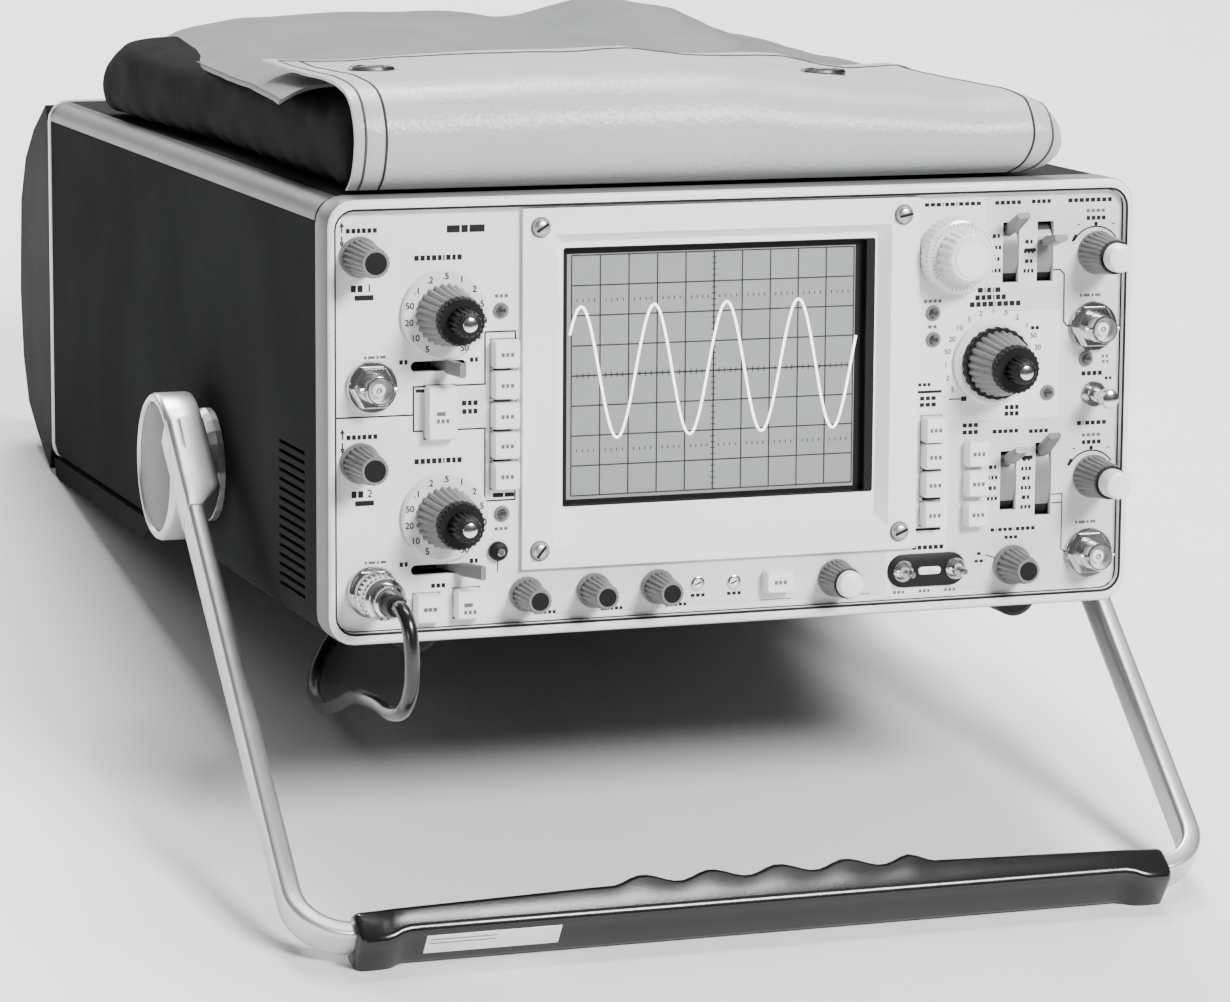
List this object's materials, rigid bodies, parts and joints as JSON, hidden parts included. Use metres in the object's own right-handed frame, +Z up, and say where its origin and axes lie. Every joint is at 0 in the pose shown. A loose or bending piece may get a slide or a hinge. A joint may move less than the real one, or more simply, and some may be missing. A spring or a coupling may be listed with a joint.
{
  "type": "portable dual-trace oscilloscope",
  "caption": "Portable bench oscilloscope standing on its swung-down carrying handle, with a soft accessory pouch on top and a coaxial patch lead on one input.",
  "frame": {"origin": "centre of the bounding box of everything but the loose patch lead, on the floor it stands on", "axes": "+Z up; +X to the right of someone reading the panel; the control panel faces -Y and leans back 12.2 degrees; +Y is the depth, towards the rear guards"},
  "size_m": [0.3272, 0.5266, 0.2634],
  "materials": {
    "cover_paint": "satin dark paint over sheet metal",
    "frame_casting": "pale satin paint on a casting",
    "panel_paint": "pale satin paint",
    "bezel_plastic": "white moulded",
    "filter_glass": "smoked clear filter with a printed graticule",
    "tube_glass": "coated glass envelope",
    "plated_steel": "zinc plated",
    "circuit_board": "green laminate",
    "rear_black": "black moulded and painted",
    "handle_alloy": "satin alloy",
    "grip_black": "soft sheen black",
    "vinyl": "soft coated fabric, dark grey",
    "knob_grey": "grey moulded, black front",
    "dark_plastic": "black",
    "clear_dial": "clear and silver",
    "key_white": "white keys",
    "lever_grey": "mid grey",
    "bright_metal": "bright plated",
    "cable_black": "black jacket"
  },
  "bodies": {
    "instrument": {"cabinet_shell": "cover_paint", "front_frame": "frame_casting", "front_panel": "panel_paint", "subpanel": "plated_steel", "display_bezel": "bezel_plastic", "display_filter": "filter_glass", "crt_tube": "tube_glass", "chassis_frame": "plated_steel", "main_board": "circuit_board", "rear_panel": "rear_black", "pivot_hub_left": "handle_alloy", "pivot_hub_right": "handle_alloy", "pouch_body": "vinyl", "lead_plug_near": "bright_metal", "lead_cable": "cable_black", "lead_coil": "cable_black", "lead_plug_far": "bright_metal"},
    "knob_ch1_position": {"knob_ch1_position": "knob_grey"},
    "knob_ch2_position": {"knob_ch2_position": "knob_grey"},
    "knob_intensity": {"knob_intensity": "knob_grey"},
    "knob_focus": {"knob_focus": "knob_grey"},
    "knob_scale_illum": {"knob_scale_illum": "knob_grey"},
    "knob_holdoff": {"knob_holdoff": "knob_grey"},
    "knob_ch1_volts": {"knob_ch1_volts": "knob_grey"},
    "knob_ch2_volts": {"knob_ch2_volts": "knob_grey"},
    "knob_time_div": {"knob_time_div": "knob_grey"},
    "knob_ch1_variable": {"knob_ch1_variable": "knob_grey"},
    "knob_ch2_variable": {"knob_ch2_variable": "knob_grey"},
    "knob_time_variable": {"knob_time_variable": "knob_grey"},
    "knob_horizontal_position": {"knob_horizontal_position": "knob_grey"},
    "knob_a_level": {"knob_a_level": "knob_grey"},
    "knob_b_level": {"knob_b_level": "knob_grey"},
    "knob_delay_time": {"knob_delay_time": "clear_dial"},
    "lever_b_coupling": {"lever_b_coupling": "lever_grey"},
    "lever_b_source": {"lever_b_source": "lever_grey"},
    "lever_a_coupling": {"lever_a_coupling": "lever_grey"},
    "lever_a_source": {"lever_a_source": "lever_grey"},
    "lever_ch1_coupling": {"lever_ch1_coupling": "lever_grey"},
    "lever_ch2_coupling": {"lever_ch2_coupling": "lever_grey"},
    "key_vert_ch1": {"key_vert_ch1": "key_white"},
    "key_vert_ch2": {"key_vert_ch2": "key_white"},
    "key_vert_alt": {"key_vert_alt": "key_white"},
    "key_vert_chop": {"key_vert_chop": "key_white"},
    "key_vert_add": {"key_vert_add": "key_white"},
    "key_bandwidth": {"key_bandwidth": "key_white"},
    "key_invert": {"key_invert": "key_white"},
    "key_beam_find": {"key_beam_find": "key_white"},
    "key_magnifier": {"key_magnifier": "key_white"},
    "key_display_a": {"key_display_a": "key_white"},
    "key_display_intensified": {"key_display_intensified": "key_white"},
    "key_display_delayed": {"key_display_delayed": "key_white"},
    "key_display_b": {"key_display_b": "key_white"},
    "key_trigger_auto": {"key_trigger_auto": "key_white"},
    "key_trigger_normal": {"key_trigger_normal": "key_white"},
    "key_trigger_single": {"key_trigger_single": "key_white"},
    "knob_power": {"knob_power": "bright_metal"},
    "handle": {"handle_bail": "handle_alloy", "handle_grip": "grip_black"},
    "pouch_flap": {"pouch_flap": "vinyl"},
    "fan_rotor": {"fan_rotor": "dark_plastic"}
  },
  "joints": [
    {"name": "ch1_position_turn", "type": "hinge", "parent": "instrument", "child": "knob_ch1_position", "pos_m": [-0.131, -0.18522, 0.21635], "axis": [0, 0.9774, -0.2113], "range_deg": [-150, 150]},
    {"name": "ch2_position_turn", "type": "hinge", "parent": "instrument", "child": "knob_ch2_position", "pos_m": [-0.131, -0.19942, 0.15067], "axis": [0, 0.9774, -0.2113], "range_deg": [-150, 150]},
    {"name": "intensity_turn", "type": "hinge", "parent": "instrument", "child": "knob_intensity", "pos_m": [-0.074, -0.20725, 0.105], "axis": [0, 0.9774, -0.2113], "range_deg": [-150, 150]},
    {"name": "focus_turn", "type": "hinge", "parent": "instrument", "child": "knob_focus", "pos_m": [-0.0506, -0.20725, 0.105], "axis": [0, 0.9774, -0.2113], "range_deg": [-150, 150]},
    {"name": "scale_illum_turn", "type": "hinge", "parent": "instrument", "child": "knob_scale_illum", "pos_m": [-0.028, -0.20725, 0.105], "axis": [0, 0.9774, -0.2113], "range_deg": [-90, 210]},
    {"name": "holdoff_turn", "type": "hinge", "parent": "instrument", "child": "knob_holdoff", "pos_m": [0.1007, -0.20715, 0.10548], "axis": [0, 0.9774, -0.2113], "range_deg": [-150, 150]},
    {"name": "ch1_volts_turn", "type": "hinge", "parent": "instrument", "child": "knob_ch1_volts", "pos_m": [-0.1024, -0.18936, 0.1972], "axis": [0, 0.9774, -0.2113], "range_deg": [-120, 150]},
    {"name": "ch2_volts_turn", "type": "hinge", "parent": "instrument", "child": "knob_ch2_volts", "pos_m": [-0.1024, -0.20344, 0.1321], "axis": [0, 0.9774, -0.2113], "range_deg": [-120, 150]},
    {"name": "time_div_turn", "type": "hinge", "parent": "instrument", "child": "knob_time_div", "pos_m": [0.0922, -0.19426, 0.17452], "axis": [0, 0.9774, -0.2113], "continuous": true},
    {"name": "ch1_variable_turn", "type": "hinge", "parent": "instrument", "child": "knob_ch1_variable", "pos_m": [-0.1024, -0.20305, 0.20016], "axis": [0, 0.9774, -0.2113], "range_deg": [0, 300]},
    {"name": "ch2_variable_turn", "type": "hinge", "parent": "instrument", "child": "knob_ch2_variable", "pos_m": [-0.1024, -0.21712, 0.13506], "axis": [0, 0.9774, -0.2113], "range_deg": [0, 300]},
    {"name": "time_variable_turn", "type": "hinge", "parent": "instrument", "child": "knob_time_variable", "pos_m": [0.0922, -0.20795, 0.17748], "axis": [0, 0.9774, -0.2113], "range_deg": [0, 300]},
    {"name": "horizontal_position_turn", "type": "hinge", "parent": "instrument", "child": "knob_horizontal_position", "pos_m": [0.0359, -0.20738, 0.10441], "axis": [0, 0.9774, -0.2113], "range_deg": [-150, 150]},
    {"name": "a_level_turn", "type": "hinge", "parent": "instrument", "child": "knob_a_level", "pos_m": [0.1304, -0.20293, 0.13445], "axis": [0, 0.9774, -0.2113], "range_deg": [-150, 150]},
    {"name": "b_level_turn", "type": "hinge", "parent": "instrument", "child": "knob_b_level", "pos_m": [0.1304, -0.18664, 0.20981], "axis": [0, 0.9774, -0.2113], "range_deg": [-150, 150]},
    {"name": "delay_time_turn", "type": "hinge", "parent": "instrument", "child": "knob_delay_time", "pos_m": [0.0772, -0.18445, 0.21046], "axis": [0, 0.9774, -0.2113], "range_deg": [-180, 3420]},
    {"name": "b_coupling_swing", "type": "hinge", "parent": "instrument", "child": "lever_b_coupling", "pos_m": [0.0982, -0.16101, 0.20529], "axis": [-1, 0, 0], "range_deg": [-57, 1]},
    {"name": "b_source_swing", "type": "hinge", "parent": "instrument", "child": "lever_b_source", "pos_m": [0.1109, -0.16101, 0.20529], "axis": [-1, 0, 0], "range_deg": [-41, 17]},
    {"name": "a_coupling_swing", "type": "hinge", "parent": "instrument", "child": "lever_a_coupling", "pos_m": [0.0988, -0.17754, 0.12886], "axis": [-1, 0, 0], "range_deg": [-53.7, 3.7]},
    {"name": "a_source_swing", "type": "hinge", "parent": "instrument", "child": "lever_a_source", "pos_m": [0.1118, -0.17754, 0.12886], "axis": [-1, 0, 0], "range_deg": [-68.3, 0]},
    {"name": "ch1_coupling_swing", "type": "hinge", "parent": "instrument", "child": "lever_ch1_coupling", "pos_m": [-0.1042, -0.1675, 0.17528], "axis": [0, 0.2113, 0.9774], "range_deg": [-32.2, 16.2]},
    {"name": "ch2_coupling_swing", "type": "hinge", "parent": "instrument", "child": "lever_ch2_coupling", "pos_m": [-0.1042, -0.1817, 0.1096], "axis": [0, 0.2113, 0.9774], "range_deg": [-48.2, 0]},
    {"name": "vert_ch1_press", "type": "slide", "parent": "instrument", "child": "key_vert_ch1", "axis": [0, 0.9774, -0.2113], "range_m": [0, 0.0028]},
    {"name": "vert_ch2_press", "type": "slide", "parent": "instrument", "child": "key_vert_ch2", "axis": [0, 0.9774, -0.2113], "range_m": [0, 0.0028]},
    {"name": "vert_alt_press", "type": "slide", "parent": "instrument", "child": "key_vert_alt", "axis": [0, 0.9774, -0.2113], "range_m": [0, 0.0028]},
    {"name": "vert_chop_press", "type": "slide", "parent": "instrument", "child": "key_vert_chop", "axis": [0, 0.9774, -0.2113], "range_m": [0, 0.0028]},
    {"name": "vert_add_press", "type": "slide", "parent": "instrument", "child": "key_vert_add", "axis": [0, 0.9774, -0.2113], "range_m": [0, 0.0028]},
    {"name": "bandwidth_press", "type": "slide", "parent": "instrument", "child": "key_bandwidth", "axis": [0, 0.9774, -0.2113], "range_m": [0, 0.0028]},
    {"name": "invert_press", "type": "slide", "parent": "instrument", "child": "key_invert", "axis": [0, 0.9774, -0.2113], "range_m": [0, 0.0028]},
    {"name": "beam_find_press", "type": "slide", "parent": "instrument", "child": "key_beam_find", "axis": [0, 0.9774, -0.2113], "range_m": [0, 0.0028], "stiffness_N_per_m": 250, "springref_m": -0.002},
    {"name": "magnifier_press", "type": "slide", "parent": "instrument", "child": "key_magnifier", "axis": [0, 0.9774, -0.2113], "range_m": [0, 0.0028]},
    {"name": "display_a_press", "type": "slide", "parent": "instrument", "child": "key_display_a", "axis": [0, 0.9774, -0.2113], "range_m": [0, 0.0028]},
    {"name": "display_intensified_press", "type": "slide", "parent": "instrument", "child": "key_display_intensified", "axis": [0, 0.9774, -0.2113], "range_m": [0, 0.0028]},
    {"name": "display_delayed_press", "type": "slide", "parent": "instrument", "child": "key_display_delayed", "axis": [0, 0.9774, -0.2113], "range_m": [0, 0.0028]},
    {"name": "display_b_press", "type": "slide", "parent": "instrument", "child": "key_display_b", "axis": [0, 0.9774, -0.2113], "range_m": [0, 0.0028]},
    {"name": "trigger_auto_press", "type": "slide", "parent": "instrument", "child": "key_trigger_auto", "axis": [0, 0.9774, -0.2113], "range_m": [0, 0.0028]},
    {"name": "trigger_normal_press", "type": "slide", "parent": "instrument", "child": "key_trigger_normal", "axis": [0, 0.9774, -0.2113], "range_m": [0, 0.0028]},
    {"name": "trigger_single_press", "type": "slide", "parent": "instrument", "child": "key_trigger_single", "axis": [0, 0.9774, -0.2113], "range_m": [0, 0.0028]},
    {"name": "power_pull", "type": "slide", "parent": "instrument", "child": "knob_power", "axis": [0, -0.9774, 0.2113], "range_m": [0, 0.005]},
    {"name": "handle_swing", "type": "hinge", "parent": "instrument", "child": "handle", "pos_m": [0, -0.05057, 0.09619], "axis": [-1, 0, 0], "range_deg": [-118, 158]},
    {"name": "pouch_flap_open", "type": "hinge", "parent": "instrument", "child": "pouch_flap", "pos_m": [0, -0.17, 0.23373], "axis": [1, 0, 0], "range_deg": [0, 80]},
    {"name": "fan_spin", "type": "hinge", "parent": "instrument", "child": "fan_rotor", "pos_m": [0.03, 0.19827, 0.09252], "axis": [0, 0.9774, -0.2113], "continuous": true}
  ]
}
